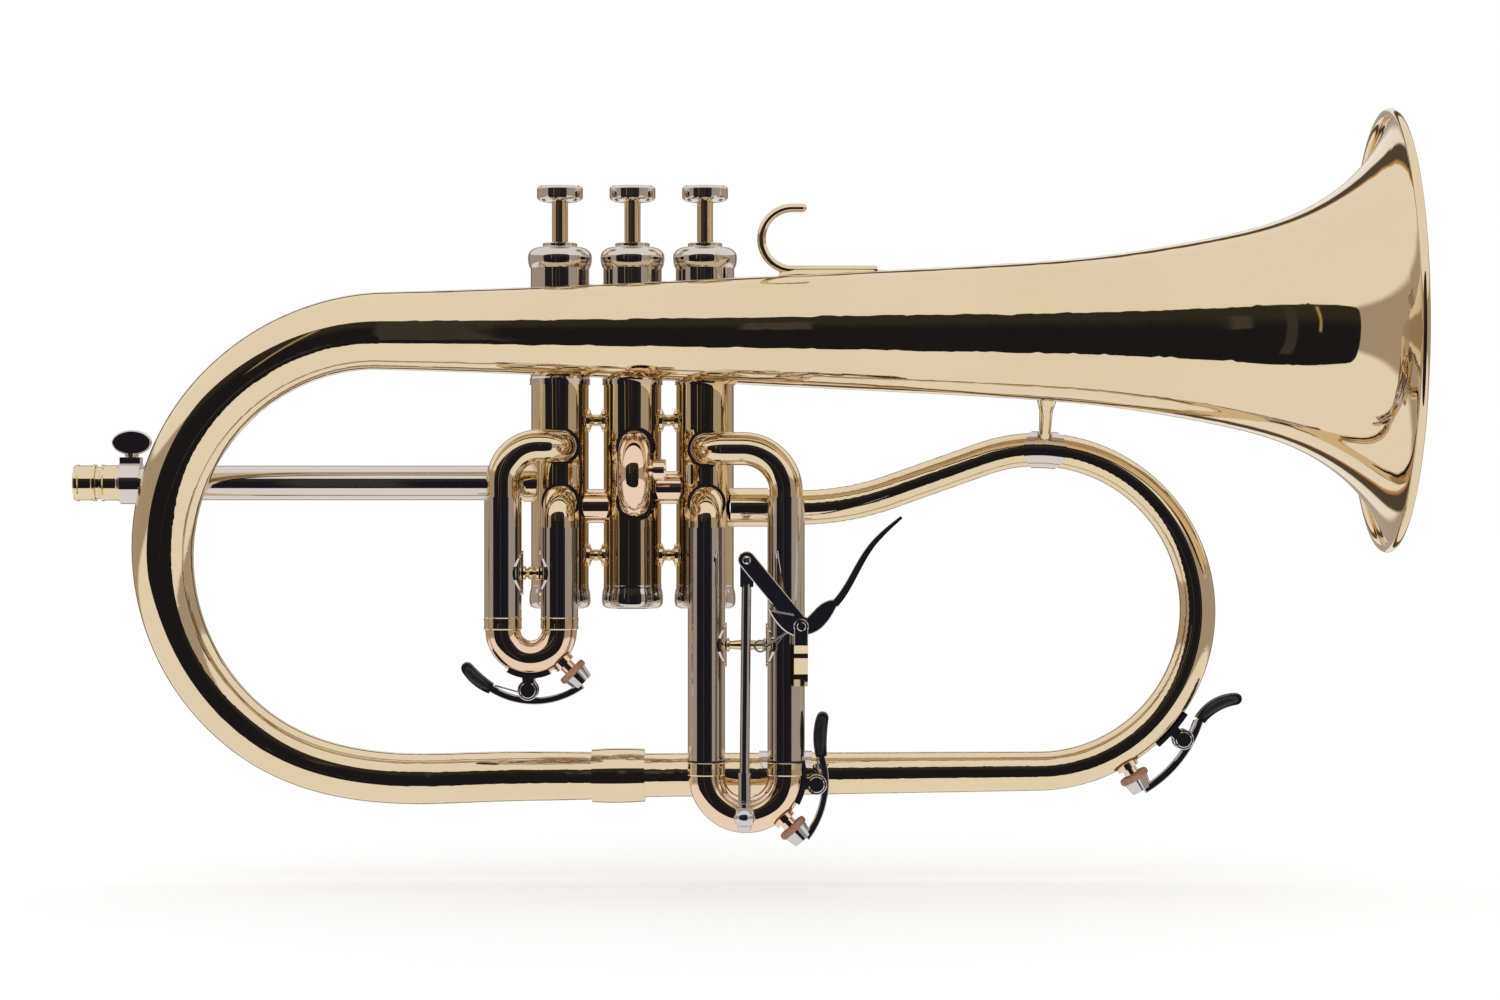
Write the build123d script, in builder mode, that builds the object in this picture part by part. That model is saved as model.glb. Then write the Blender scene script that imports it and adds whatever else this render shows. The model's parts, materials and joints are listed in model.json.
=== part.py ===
from build123d import *
import math
import os

os.makedirs("parts", exist_ok=True)

# Flugelhorn in B flat, in millimetres. +X runs along the mouthpipe towards the bell, +Y to the
# player's left, +Z up along the valves. The origin is the centre of the mouthpiece receiver's mouth.

# ---- driving dimensions ----
bell_y = -29.5                  # the bell's axis lies beside the valves
bell_z = 52.1
bell_rim_x = 457.5
bell_rim_radius = 76.2          # a six inch bell
wall = 0.7                      # sheet of the bell, its bow and its branch
bow_x = 111.0                   # where the bell's tail starts to bend
ferrule_start_x = 181.8
ferrule_end_x = 200.4
loop_x = 338.1                 # centre of the branch's right loop
loop_z = -44.8
loop_radius = 56.5
run_tilt = math.radians(0.6)       # the run under the valves climbs a little towards the loop

valve_xs = (170.5, 196.0, 221.5)
casing_radius = 10.15
bore_radius = 8.85
piston_radius = 8.8
casing_bottom_z = -35.9
casing_top_z = 34.4
upper_casing_top_z = 75.4
cap_top_z = 82.8
valve_stroke = 14.0
piston_bottom_z = -26.0
barrel_start_z = 34.0
piston_top_z = 78.8
guide_z = 37.0
guide_thickness = 2.5

slide_y = -19.0                 # the plane of the first and third slides
slide_outer_radius = 6.5
slide_bore_radius = 5.75
inner_tube_radius = 5.7
inner_tube_bore = 5.2
elbow_radius = 5.8
ferrule_radius = 6.65

slide_1_left_x = 151.7
slide_1_right_x = 171.3
slide_1_end_z = -46.5
slide_1_ferrule_z = -50.9
slide_3_left_x = 222.2
slide_3_right_x = 249.8
slide_3_end_z = -96.1
slide_3_ferrule_z = -101.4
slide_2_x = 197.6
slide_2_upper_z = 12.7
slide_2_lower_z = -6.6
slide_2_end_y = -23.0
slide_2_ferrule_y = -26.0

mouthpipe_radius = 5.65
mouthpipe_bore = 4.5
sleeve_radius = 6.15
collar_start_x = 16.2
collar_end_x = 23.4

pivot_x = 254.9                 # main pivot of the third slide's trigger
pivot_z = -49.3
link_x = 236.2                  # where the trigger's lever holds the rod
link_z = -26.6
ball_x = 235.4
ball_z = -115.1
rod_y = -29.2
rod_radius = 1.7
lever_back_y = -31.0
lever_thickness = 2.0

bevel = 0.3                     # broken edge of levers, cheeks and plates
fit_gap = 0.05                  # running clearance of sliding and turning pieces
upright = (Align.CENTER, Align.CENTER, Align.MIN)


# ---- shapes used more than once ----
def along_x(x, y, z):
    """A plane whose first direction is +X, for turning a profile about a line along X."""
    return Plane(origin=(x, y, z), x_dir=(1, 0, 0), z_dir=(0, -1, 0))


def along_z(x, y=0.0, z=0.0):
    """A plane whose first direction is +Z, for turning a profile about an upright line."""
    return Plane(origin=(x, y, z), x_dir=(0, 0, 1), z_dir=(0, -1, 0))


def turned(profile, plane):
    """A lathe part: a closed outline of (distance, radius) points about the plane's first axis."""
    with BuildPart() as piece:
        with BuildSketch(plane):
            with BuildLine():
                Polyline(*profile, close=True)
            make_face()
        revolve(axis=Axis(plane.origin, plane.x_dir))
    return piece.part


def turned_smooth(curve, sides, plane):
    """A lathe part with one smooth outer curve, closed by straight sides."""
    with BuildPart() as piece:
        with BuildSketch(plane):
            with BuildLine():
                edge = Spline(*curve)
                Polyline(edge @ 1, *sides, edge @ 0)
            make_face()
        revolve(axis=Axis(plane.origin, plane.x_dir))
    return piece.part


def screw_head(x, face_y, z, radius, slot_angle):
    """A slotted screw head on a face that looks towards -Y."""
    height = 0.6
    with BuildPart() as piece:
        add(
            turned(
                [(0, 0), (0, radius), (height / 2, radius), (height, radius - bevel), (height, 0)],
                Plane(origin=(x, face_y, z), x_dir=(0, -1, 0), z_dir=(1, 0, 0)),
            )
        )
        with BuildSketch(Plane(origin=(x, face_y - height, z), x_dir=(1, 0, 0), z_dir=(0, -1, 0))):
            Rectangle(2 * radius, 0.5, rotation=slot_angle)
        extrude(amount=-height / 2, mode=Mode.SUBTRACT)
    return piece.part


def bar(start, end, radius):
    """A round bar between two points."""
    direction = Vector(*end) - Vector(*start)
    with BuildPart(Plane(origin=start, z_dir=direction)) as piece:
        Cylinder(radius, direction.length, align=upright)
    return piece.part


def tube(start, end, outer, inner):
    """A straight tube between two points."""
    direction = Vector(*end) - Vector(*start)
    with BuildPart(Plane(origin=start, z_dir=direction)) as piece:
        Cylinder(outer, direction.length, align=upright)
        Cylinder(inner, direction.length, align=upright, mode=Mode.SUBTRACT)
    return piece.part


def bent_tube(points, bends, outer, inner):
    """A tube along straight runs joined by bends of the given radii."""
    with BuildPart() as piece:
        with BuildLine() as route:
            FilletPolyline(*points, radius=bends)
        with BuildSketch(Plane(origin=route.line @ 0, z_dir=route.line % 0)):
            Circle(outer)
            if inner > 0:
                Circle(inner, mode=Mode.SUBTRACT)
        sweep()
    return piece.part


def tapered(route, stations, trim):
    """A solid round sweep whose radius changes along its route, less the given thickness."""
    with BuildPart() as piece:
        sections = []
        for fraction, radius in stations:
            ahead = route.tangent_at(fraction)
            sideways = Vector(0, 1, 0) - ahead * ahead.Y
            here = Plane(origin=route.position_at(fraction), x_dir=sideways, z_dir=ahead)
            with BuildSketch(here) as section:
                Circle(radius - trim)
            sections.append(section.sketch)
        sweep(sections=sections, path=route, multisection=True)
    return piece.part


def u_bend(start, middle, end, lead, outer, inner):
    """A half-round crook between two parallel legs, with the lead giving the legs' direction."""
    with BuildPart() as piece:
        with BuildLine() as route:
            ThreePointArc(start, middle, end)
        with BuildSketch(Plane(origin=start, z_dir=lead)):
            Circle(outer)
            if inner > 0:
                Circle(inner, mode=Mode.SUBTRACT)
        sweep(path=route.wires()[0])
    return piece.part


def finish(piece, name):
    """Label a finished piece and write it under its own name."""
    piece.part.label = name
    export_step(piece.part, "parts/" + name + ".step")


def inset(points, depths):
    """An outline whose points move sideways, each by its own depth along its own normal."""
    moved = []
    for index, (x, radius) in enumerate(points):
        depth = depths[index]
        before = points[max(index - 1, 0)]
        after = points[min(index + 1, len(points) - 1)]
        run = math.hypot(after[0] - before[0], after[1] - before[1])
        slope_x = (after[0] - before[0]) / run
        slope_radius = (after[1] - before[1]) / run
        moved.append((x + depth * slope_radius, radius - depth * slope_x))
    return moved


def horn_solid(points, plane):
    """A solid of revolution under a smooth outline."""
    with BuildPart() as piece:
        with BuildSketch(plane):
            with BuildLine():
                edge = Spline(*points)
                Polyline(edge @ 1, ((edge @ 1).X, 0), ((edge @ 0).X, 0), edge @ 0)
            make_face()
        revolve(axis=Axis(plane.origin, plane.x_dir))
    return piece.part


# ---- bell: a flare with a bead rolled over a wire ----
bell_outline = [
    (bow_x, 13.4), (151.0, 14.6), (182.0, 15.9), (234.0, 18.4), (285.0, 20.9), (327.0, 23.2),
    (358.0, 25.8), (378.0, 28.7), (399.0, 32.6), (420.0, 38.4), (438.0, 48.0),
    (450.0, 59.6), (455.3, 68.5), (457.0, 74.6),
]
bead_radius = 1.5
bead_centre = (bell_rim_x - bead_radius, bell_rim_radius - bead_radius)
wire_radius = 0.9
bell_plane = along_x(0, bell_y, bell_z)
bell_axis = Axis(bell_plane.origin, bell_plane.x_dir)
flare_outside = horn_solid(bell_outline, bell_plane)

with BuildPart() as bell:
    with BuildSketch(bell_plane):
        with BuildLine():
            outside = Spline(*bell_outline)
            inside = Spline(*inset(bell_outline, [wall] * len(bell_outline)))
            Line(outside @ 0, inside @ 0)
            Line(outside @ 1, inside @ 1)
        make_face()
        with Locations(bead_centre):
            Circle(bead_radius)
            Circle(wire_radius, mode=Mode.SUBTRACT)
    revolve(axis=bell_axis)
finish(bell, "bell")

with BuildPart() as rim_wire:
    with BuildSketch(bell_plane):
        with Locations(bead_centre):
            Circle(wire_radius)
    revolve(axis=bell_axis)
finish(rim_wire, "rim_wire")

# ---- the straight run under the valves, from the bow to the loop ----
run_direction = Vector(math.cos(run_tilt), 0, math.sin(run_tilt))
loop_start = Vector(
    loop_x + loop_radius * math.sin(run_tilt), 0, loop_z - loop_radius * math.cos(run_tilt)
)


def run_point(x):
    """The point of the straight run's centre line at a distance along the instrument."""
    return loop_start + run_direction * ((x - loop_start.X) / run_direction.X)


# ---- bell bow: the tapering bend that leans from the bell's line to the valves' line ----
bow_top = Vector(bow_x, bell_y, bell_z)
bow_bottom = run_point(bow_x)
bow_middle = (bow_top + bow_bottom) * 0.5
bow_radius = (bow_top - bow_bottom).length / 2
bow_down = (bow_bottom - bow_middle).normalized()
# The bend is a little flatter than a half circle: (degrees from its bottom, radius change).
bow_flattening = ((30, -0.1), (60, -0.75), (90, -1.45), (120, -1.4), (150, -0.8))
bow_ends = ((0.0, 8.4), (0.223, 9.0), (0.42, 9.6), (0.61, 10.65), (0.8, 11.75), (1.0, 13.4))


def bow_point(degrees, change):
    """A point of the bow's centre line."""
    angle = math.radians(degrees)
    outward = bow_down * math.cos(angle) - Vector(1, 0, 0) * math.sin(angle)
    return bow_middle + outward * (bow_radius + change)


bow_points = [run_point(ferrule_start_x), run_point((ferrule_start_x + bow_x) / 2), bow_bottom]
bow_points += [bow_point(*entry) for entry in bow_flattening] + [bow_top]
with BuildLine() as bow_line:
    Spline(*bow_points, tangents=(run_direction * -1, Vector(1, 0, 0)))
bow_route = bow_line.wires()[0]
bow_outside = tapered(bow_route, bow_ends, 0)

with BuildPart() as bell_bow:
    add(bow_outside)
    add(tapered(bow_route, bow_ends, wall), mode=Mode.SUBTRACT)
finish(bell_bow, "bell_bow")

# ---- bow ferrule: a barrel over the joint of the bow and the branch ----
ferrule_length = ferrule_end_x - ferrule_start_x
ferrule_plane = Plane(origin=run_point(ferrule_start_x), x_dir=run_direction, z_dir=(0, -1, 0))
with BuildPart() as bow_ferrule:
    with BuildSketch(ferrule_plane):
        with BuildLine():
            Polyline((ferrule_length, 9.3), (ferrule_length, 7.3), (0, 7.3), (0, 9.3))
            ThreePointArc((0, 9.3), (ferrule_length / 2, 9.65), (ferrule_length, 9.3))
        make_face()
    revolve(axis=Axis(ferrule_plane.origin, ferrule_plane.x_dir))
finish(bow_ferrule, "bow_ferrule")

# ---- main branch: along the bottom, round the right loop and down into the third valve ----
slope = math.radians(19.5)
loop_end_x = loop_x - loop_radius * math.sin(slope)
loop_end_z = loop_z + loop_radius * math.cos(slope)
swan_radius = 95.0
port_3_z = -8.6
slope_drop = loop_end_z - port_3_z - swan_radius * (1 - math.cos(slope))
swan_start_x = loop_end_x - slope_drop / math.tan(slope)
swan_start_z = loop_end_z - slope_drop
swan_end_x = swan_start_x - swan_radius * math.sin(slope)
branch_end_x = 236.0
with BuildLine() as branch_line:
    Line(run_point(ferrule_end_x), loop_start)
    ThreePointArc(loop_start, (loop_x + loop_radius, 0, loop_z), (loop_end_x, 0, loop_end_z))
    Line((loop_end_x, 0, loop_end_z), (swan_start_x, 0, swan_start_z))
    ThreePointArc(
        (swan_start_x, 0, swan_start_z),
        (
            swan_start_x - swan_radius * (math.sin(slope) - math.sin(slope / 2)),
            0,
            port_3_z + swan_radius * (1 - math.cos(slope / 2)),
        ),
        (swan_end_x, 0, port_3_z),
    )
    Line((swan_end_x, 0, port_3_z), (branch_end_x, 0, port_3_z))
branch_route = branch_line.wires()[0]
branch_ends = ((0.0, 7.75), (0.32, 6.95), (0.5, 6.4), (1.0, 6.3))
branch_outside = tapered(branch_route, branch_ends, 0)

# ---- water keys: a nipple on a bow, closed by a sprung lever with a cork pad ----
nipple_top = 2.9
nipple_root = 3.2
nipple_radius = 2.5
nipple_bore = 1.5
nipple_flange_radius = 3.9
pad_thickness = 2.4
pad_radius = 5.3
cup_radius = 4.5
cup_height = 4.2
lever_width = 5.0
lever_strip = 2.4
thumb_thickness = 3.6
cheek_radius = 3.6
cheek_thickness = 1.0
cheek_width = 4.4
key_pin_radius = 1.2
key_screw_radius = 2.8
saddle_length = 15.0
saddle_thickness = 1.6


def key_plane(x, y, z, outward, turn):
    """The key's own plane: first direction towards its pivot, second away from the bow."""
    angle = math.radians(outward + 90 * turn)
    return Plane(
        origin=(x, y, z),
        x_dir=(math.cos(angle), 0, math.sin(angle)),
        z_dir=(0, turn, 0),
    )


def key_nipple(plane):
    """The blow-out tube under the pad, with its flange on the bow."""
    upright_plane = Plane(origin=plane.origin, z_dir=plane.y_dir)
    with BuildPart(upright_plane.offset(-nipple_root)) as piece:
        Cylinder(nipple_flange_radius, nipple_root + 0.6, align=upright)
        Cylinder(nipple_radius, nipple_root + nipple_top, align=upright)
        Cylinder(nipple_bore, nipple_root + nipple_top, align=upright, mode=Mode.SUBTRACT)
    return piece.part


def key_pad(plane):
    """The cork disc that seals the nipple."""
    with BuildPart(Plane(origin=plane.origin, z_dir=plane.y_dir).offset(nipple_top)) as piece:
        Cylinder(pad_radius, pad_thickness, align=upright)
        fillet(piece.edges().filter_by(GeomType.CIRCLE), radius=0.9)
    return piece.part


def key_lever(plane, pivot, strip, tip):
    """The rocking lever: a curved strip with a pad cup, a hub and a rounded thumb end."""
    with BuildPart() as piece:
        with BuildSketch(plane):
            with BuildLine() as strip_line:
                ThreePointArc(*strip)
            trace(strip_line.line, line_width=lever_strip)
        extrude(amount=lever_width / 2, both=True)
        chamfer(piece.faces().filter_by(Axis.Y).edges(), length=bevel)
        with BuildSketch(plane):
            with Locations(pivot):
                Circle(cheek_radius - 0.5)
        extrude(amount=lever_width / 2, both=True)
        cup_plane = Plane(origin=plane.origin, z_dir=plane.y_dir).offset(nipple_top + pad_thickness)
        with BuildSketch(cup_plane):
            Circle(cup_radius)
        extrude(amount=cup_height, taper=12)
        with BuildSketch(plane):
            with BuildLine() as tip_line:
                ThreePointArc(*tip)
            trace(tip_line.line, line_width=thumb_thickness)
            with Locations(tip[2]):
                Circle(thumb_thickness / 2)
        extrude(amount=lever_width / 2 + 0.8, both=True)
        with BuildSketch(plane):
            with Locations(pivot):
                Circle(key_pin_radius + fit_gap)
        extrude(amount=lever_width, both=True, mode=Mode.SUBTRACT)
    return piece.part


def key_saddle(bow_centre, pivot, bow_reach, bow):
    """The curved plate on the bow with two cheeks and the pin that carries the lever."""
    inner_face = lever_width / 2 + 0.15
    outer_face = inner_face + cheek_thickness
    direction = (Vector(*pivot) - Vector(*bow_centre)).normalized()
    distance = (Vector(*pivot) - Vector(*bow_centre)).length
    plane = Plane(origin=bow_centre, x_dir=direction, z_dir=(0, -1, 0))
    half_turn = math.degrees(saddle_length / 2 / bow_reach)
    plate_radius = bow_reach + 0.1
    with BuildPart() as piece:
        with BuildSketch(plane):
            with Locations(((bow_reach + distance) / 2, 0)):
                Rectangle(distance - bow_reach, cheek_width)
            with Locations((distance, 0)):
                Circle(cheek_radius)
        extrude(amount=outer_face, both=True)
        chamfer(piece.faces().filter_by(Axis.Y).edges(), length=bevel)
        with BuildSketch(plane):
            with Locations((distance, 0)):
                Circle(cheek_radius + 0.4)
            with Locations((bow_reach + saddle_thickness, 0)):
                Rectangle(20.0, 12.0, align=(Align.MIN, Align.CENTER))
        extrude(amount=inner_face, both=True, mode=Mode.SUBTRACT)
        with BuildSketch(plane):
            with BuildLine() as plate_line:
                CenterArc((0, 0), plate_radius, -half_turn, 2 * half_turn)
            trace(plate_line.line, line_width=saddle_thickness)
        extrude(amount=outer_face, both=True)
        with BuildSketch(plane):
            with Locations((distance, 0)):
                Circle(key_pin_radius)
        extrude(amount=outer_face, both=True)
        add(screw_head(pivot[0], bow_centre[1] - outer_face, pivot[2], key_screw_radius, 38))
        add(bow, mode=Mode.SUBTRACT)
    return piece.part


key_main_plane = key_plane(370.2, 0, -99.7, -58.8, 1)
key_1_plane = key_plane(173.0, slide_y, -62.6, -44.8, -1)
key_3_plane = key_plane(249.4, slide_y, -116.6, -46.6, 1)
key_main_pivot = (21.4, 1.65)
key_1_pivot = (15.3, -2.4)
key_3_pivot = (16.3, -1.4)

with BuildPart() as main_branch:
    add(branch_outside)
    add(key_nipple(key_main_plane))
    add(tapered(branch_route, branch_ends, wall), mode=Mode.SUBTRACT)
finish(main_branch, "main_branch")

with BuildPart() as key_saddle_main:
    add(
        key_saddle(
            (loop_x, 0, loop_z), tuple(key_main_plane.from_local_coords(key_main_pivot)),
            loop_radius + 6.75, branch_outside,
        )
    )
finish(key_saddle_main, "key_saddle_main")

with BuildPart() as key_lever_main:
    add(
        key_lever(
            key_main_plane,
            key_main_pivot,
            ((0.5, 9.9), (16.3, 7.2), (30.0, -1.0)),
            ((30.0, -1.0), (38.0, -2.5), (44.6, -0.8)),
        )
    )
finish(key_lever_main, "key_lever_main")

with BuildPart() as key_pad_main:
    add(key_pad(key_main_plane))
finish(key_pad_main, "key_pad_main")

# ---- branch sleeve: the ring where the branch enters the third valve ----
with BuildPart() as branch_sleeve:
    add(tube((230.5, 0, port_3_z), (243.6, 0, port_3_z), 6.85, 6.3))
    add(bar((valve_xs[2], 0, -20), (valve_xs[2], 0, 5), casing_radius), mode=Mode.SUBTRACT)
finish(branch_sleeve, "branch_sleeve")

# ---- valve casings: a tube with rings where the passages leave it ----
port_1_z = 0.0
crossover_1_z = -8.1
crossover_2_z = -1.6
port_radius = 5.3
ring_radius = 6.7
ring_end_y = -11.6
slide_heights = ((12.7, -6.6), (slide_2_upper_z, slide_2_lower_z), (11.8, -7.0))
side_ports = (
    (port_1_z, crossover_1_z),
    (crossover_1_z, crossover_2_z),
    (crossover_2_z, port_3_z),
)
front_x = (slide_1_right_x, slide_2_x, slide_3_left_x)


def casing(number):
    """One lower casing with its bore, its two side ports and its two front rings."""
    x = valve_xs[number]
    left_z, right_z = side_ports[number]
    bottom = (x, 0, casing_bottom_z)
    top = (x, 0, casing_top_z)
    with BuildPart() as piece:
        add(bar(bottom, top, casing_radius))
        for z in slide_heights[number]:
            add(bar((front_x[number], 0, z), (front_x[number], ring_end_y, z), ring_radius))
        if number == 0:
            add(bar((x, 0, left_z), (x - casing_radius - 2.6, 0, left_z), ring_radius))
        add(bar(bottom, top, bore_radius), mode=Mode.SUBTRACT)
        for z in slide_heights[number]:
            port = bar((front_x[number], 0, z), (front_x[number], ring_end_y, z), inner_tube_bore)
            add(port, mode=Mode.SUBTRACT)
        add(bar((x, 0, left_z), (x - 15, 0, left_z), port_radius), mode=Mode.SUBTRACT)
        add(bar((x, 0, right_z), (x + 15, 0, right_z), port_radius), mode=Mode.SUBTRACT)
    return piece.part


for number in range(3):
    with BuildPart() as valve_casing:
        add(casing(number))
    finish(valve_casing, "casing_" + str(number + 1))

casing_solids = [bar((x, 0, casing_bottom_z), (x, 0, casing_top_z), casing_radius) for x in valve_xs]

# ---- upper casings: the plated balusters above the brass ----
band_radius = 10.6
upper_radius = 10.3
with BuildPart() as upper_casings:
    for x in valve_xs:
        add(
            turned(
                [
                    (casing_top_z, bore_radius), (casing_top_z, band_radius),
                    (casing_top_z + 2.2, band_radius), (casing_top_z + 2.8, upper_radius),
                    (upper_casing_top_z, upper_radius), (upper_casing_top_z, bore_radius),
                ],
                along_z(x),
            )
        )
finish(upper_casings, "upper_casings")

# ---- caps: screwed on the top and the bottom of each casing ----
cap_curve = (
    (upper_casing_top_z, 10.45), (76.3, 10.85), (78.4, 11.25), (80.4, 11.05), (81.9, 10.0),
    (82.7, 8.2),
)
cap_roof_z = 81.4
collar_radius = 6.1
collar_top_z = 84.3
stem_radius = 2.85
stem_hole = 3.1
with BuildPart() as top_caps:
    for x in valve_xs:
        add(
            turned_smooth(
                cap_curve,
                (
                    (cap_top_z, collar_radius + bevel), (cap_top_z + bevel, collar_radius),
                    (collar_top_z - bevel, collar_radius), (collar_top_z, collar_radius - bevel),
                    (collar_top_z, stem_hole), (cap_roof_z, stem_hole), (cap_roof_z, bore_radius),
                    (upper_casing_top_z, bore_radius),
                ),
                along_z(x),
            )
        )
finish(top_caps, "top_caps")

bottom_cap_curve = (
    (-43.9, 9.2), (-43.3, 10.2), (-42.0, 10.7), (-40.0, 10.75), (-38.0, 10.5), (-36.8, 10.2),
    (casing_bottom_z, 10.3),
)
bottom_cap_z = -44.1
bottom_floor_z = -42.2
vent_radius = 1.6
with BuildPart() as bottom_caps:
    for x in valve_xs:
        add(
            turned_smooth(
                bottom_cap_curve,
                (
                    (casing_bottom_z, bore_radius), (bottom_floor_z, bore_radius),
                    (bottom_floor_z, vent_radius), (bottom_cap_z + 0.8, vent_radius),
                    (bottom_cap_z + 0.8, 6.6), (bottom_cap_z, 7.2), (bottom_cap_z, 8.6),
                ),
                along_z(x),
            )
        )
finish(bottom_caps, "bottom_caps")

# ---- pistons: a thin barrel with three cross passages, a hollow spring barrel above ----
passage_radius = 5.0
passage_sheet = 0.5
barrel_inner = 7.7
slot_width = 5.6


def passages(number, radius):
    """The three cross passages: one open at rest, two that meet the ports when pressed."""
    x = valve_xs[number]
    left_z, right_z = side_ports[number]
    upper_z, lower_z = slide_heights[number]
    reach = piston_radius + 1
    front = front_x[number] - x
    raised = valve_stroke
    with BuildPart() as piece:
        add(bar((x - reach, 0, left_z), (x + reach, 0, right_z), radius))
        add(bar((x - reach, 0, left_z + raised), (x, 0, left_z + raised + 4), radius))
        add(bar((x, 0, left_z + raised + 4), (x + front, -reach, upper_z + raised), radius))
        add(bar((x + reach, 0, right_z + raised), (x, 0, lower_z + raised + 2), radius))
        add(bar((x, 0, lower_z + raised + 2), (x + front, -reach, lower_z + raised), radius))
    return piece.part


def piston_shell(x):
    """The barrel: closed at the bottom and at the port section's ends, slotted for the guide."""
    plate = 1.4
    with BuildPart(Plane((x, 0, piston_bottom_z))) as piece:
        Cylinder(piston_radius, piston_top_z - piston_bottom_z, align=upright)
        lower_room = barrel_start_z - piston_bottom_z - 2 * plate
        with Locations((0, 0, plate)):
            Cylinder(piston_radius - 0.6, lower_room, align=upright, mode=Mode.SUBTRACT)
        upper_room = piston_top_z - barrel_start_z - 2 * plate
        with Locations((0, 0, barrel_start_z - piston_bottom_z + plate)):
            Cylinder(barrel_inner, upper_room, align=upright, mode=Mode.SUBTRACT)
        with Locations((0, 0, guide_z - piston_bottom_z - 0.8)):
            Box(
                30, slot_width, guide_thickness + valve_stroke + 1.6, align=upright,
                mode=Mode.SUBTRACT,
            )
    return piece.part


for number, x in enumerate(valve_xs):
    with BuildPart() as piston_tubes:
        add(passages(number, passage_radius + passage_sheet))
        add(bar((x, 0, piston_bottom_z), (x, 0, barrel_start_z), piston_radius), mode=Mode.INTERSECT)
    with BuildPart() as piston:
        add(piston_shell(x))
        add(piston_tubes.part)
        add(passages(number, passage_radius), mode=Mode.SUBTRACT)
    finish(piston, "piston_" + str(number + 1))

stem_top_z = 98.6
button_top_z = 104.3
for number, x in enumerate(valve_xs):
    with BuildPart() as valve_stem:
        add(
            turned(
                [
                    (piston_top_z, 0), (piston_top_z, 4.6), (79.3, 4.6), (79.3, stem_radius),
                    (stem_top_z, stem_radius), (stem_top_z, 0),
                ],
                along_z(x),
            )
        )
    finish(valve_stem, "valve_stem_" + str(number + 1))

button_radius = 8.1
for number, x in enumerate(valve_xs):
    with BuildPart() as finger_button:
        add(
            turned(
                [
                    (stem_top_z, 0), (stem_top_z, 4.6), (98.9, 6.4), (99.4, 7.5),
                    (99.9, button_radius - 0.1), (100.4, button_radius), (103.2, button_radius),
                    (103.8, button_radius - 0.2), (104.2, button_radius - 0.7),
                    (button_top_z, button_radius - 1.2), (button_top_z, 6.4),
                    (button_top_z - 0.35, 5.6), (button_top_z - 0.5, 0),
                ],
                along_z(x),
            )
        )
    finish(finger_button, "finger_button_" + str(number + 1))

# ---- valve guides: a bar across each casing, through the slots of the spring barrel ----
with BuildPart() as valve_guides:
    for x in valve_xs:
        with BuildSketch(Plane((x, 0, guide_z))):
            Rectangle(2 * bore_radius - 0.1, slot_width - 0.4)
            Circle(bore_radius - 0.02, mode=Mode.INTERSECT)
            Circle(barrel_inner - 0.3)
            Circle(3.0, mode=Mode.SUBTRACT)
        extrude(amount=guide_thickness)
finish(valve_guides, "valve_guides")

# ---- valve springs: stand on the guide and push the spring barrel's roof up ----
spring_radius = 5.6
spring_wire = 0.45
spring_bottom_z = guide_z + guide_thickness
spring_top_z = piston_top_z - 1.4
spring_turns = 9
for number, x in enumerate(valve_xs):
    coil_height = spring_top_z - spring_bottom_z - 2 * spring_wire - 0.1
    with BuildPart() as valve_spring:
        with BuildLine(Plane((x, 0, spring_bottom_z + spring_wire + 0.05))) as coil:
            Helix(pitch=coil_height / spring_turns, height=coil_height, radius=spring_radius)
        with BuildSketch(Plane(origin=coil.line @ 0, z_dir=coil.line % 0)):
            Circle(spring_wire)
        sweep(path=coil.wires()[0], is_frenet=True)
    finish(valve_spring, "valve_spring_" + str(number + 1))

# ---- felts inside the top caps ----
with BuildPart() as cap_felts:
    for x in valve_xs:
        with BuildSketch(Plane((x, 0, 79.6))):
            Circle(8.3)
            Circle(stem_hole + 1.9, mode=Mode.SUBTRACT)
        extrude(amount=1.8)
finish(cap_felts, "cap_felts")

# ---- crossover tubes between the valves ----
with BuildPart() as crossover_tubes:
    add(tube((valve_xs[0], 0, crossover_1_z), (valve_xs[1], 0, crossover_1_z), 6.0, port_radius))
    add(tube((valve_xs[1], 0, crossover_2_z), (valve_xs[2], 0, crossover_2_z), 5.8, port_radius))
    for solid in casing_solids:
        add(solid, mode=Mode.SUBTRACT)
finish(crossover_tubes, "crossover_tubes")


# ---- mouthpipe: slides in a plated sleeve and is held by a split collar ----
with BuildPart() as mouthpipe_sleeve:
    add(tube((collar_end_x, 0, 0), (valve_xs[0] - 12.75, 0, 0), sleeve_radius, mouthpipe_radius + 0.05))
finish(mouthpipe_sleeve, "mouthpipe_sleeve")

with BuildPart() as mouthpipe:
    add(tube((collar_start_x, 0, 0), (150.0, 0, 0), mouthpipe_radius, mouthpipe_bore))
finish(mouthpipe, "mouthpipe")

receiver_bore = 4.75
with BuildPart() as mouthpiece_receiver:
    add(
        turned(
            [
                (0, receiver_bore), (0, 5.9), (0.5, 6.4), (1.6, 6.5), (2.0, 6.2), (6.4, 6.2),
                (6.8, 6.5), (7.6, 6.5), (8.0, 5.7), (9.2, 5.7), (9.6, 6.4), (10.3, 6.55),
                (10.8, 6.25), (15.2, 6.25), (15.6, 6.5), (collar_start_x, 6.5),
                (collar_start_x, receiver_bore),
            ],
            along_x(0, 0, 0),
        )
    )
finish(mouthpiece_receiver, "mouthpiece_receiver")

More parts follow.
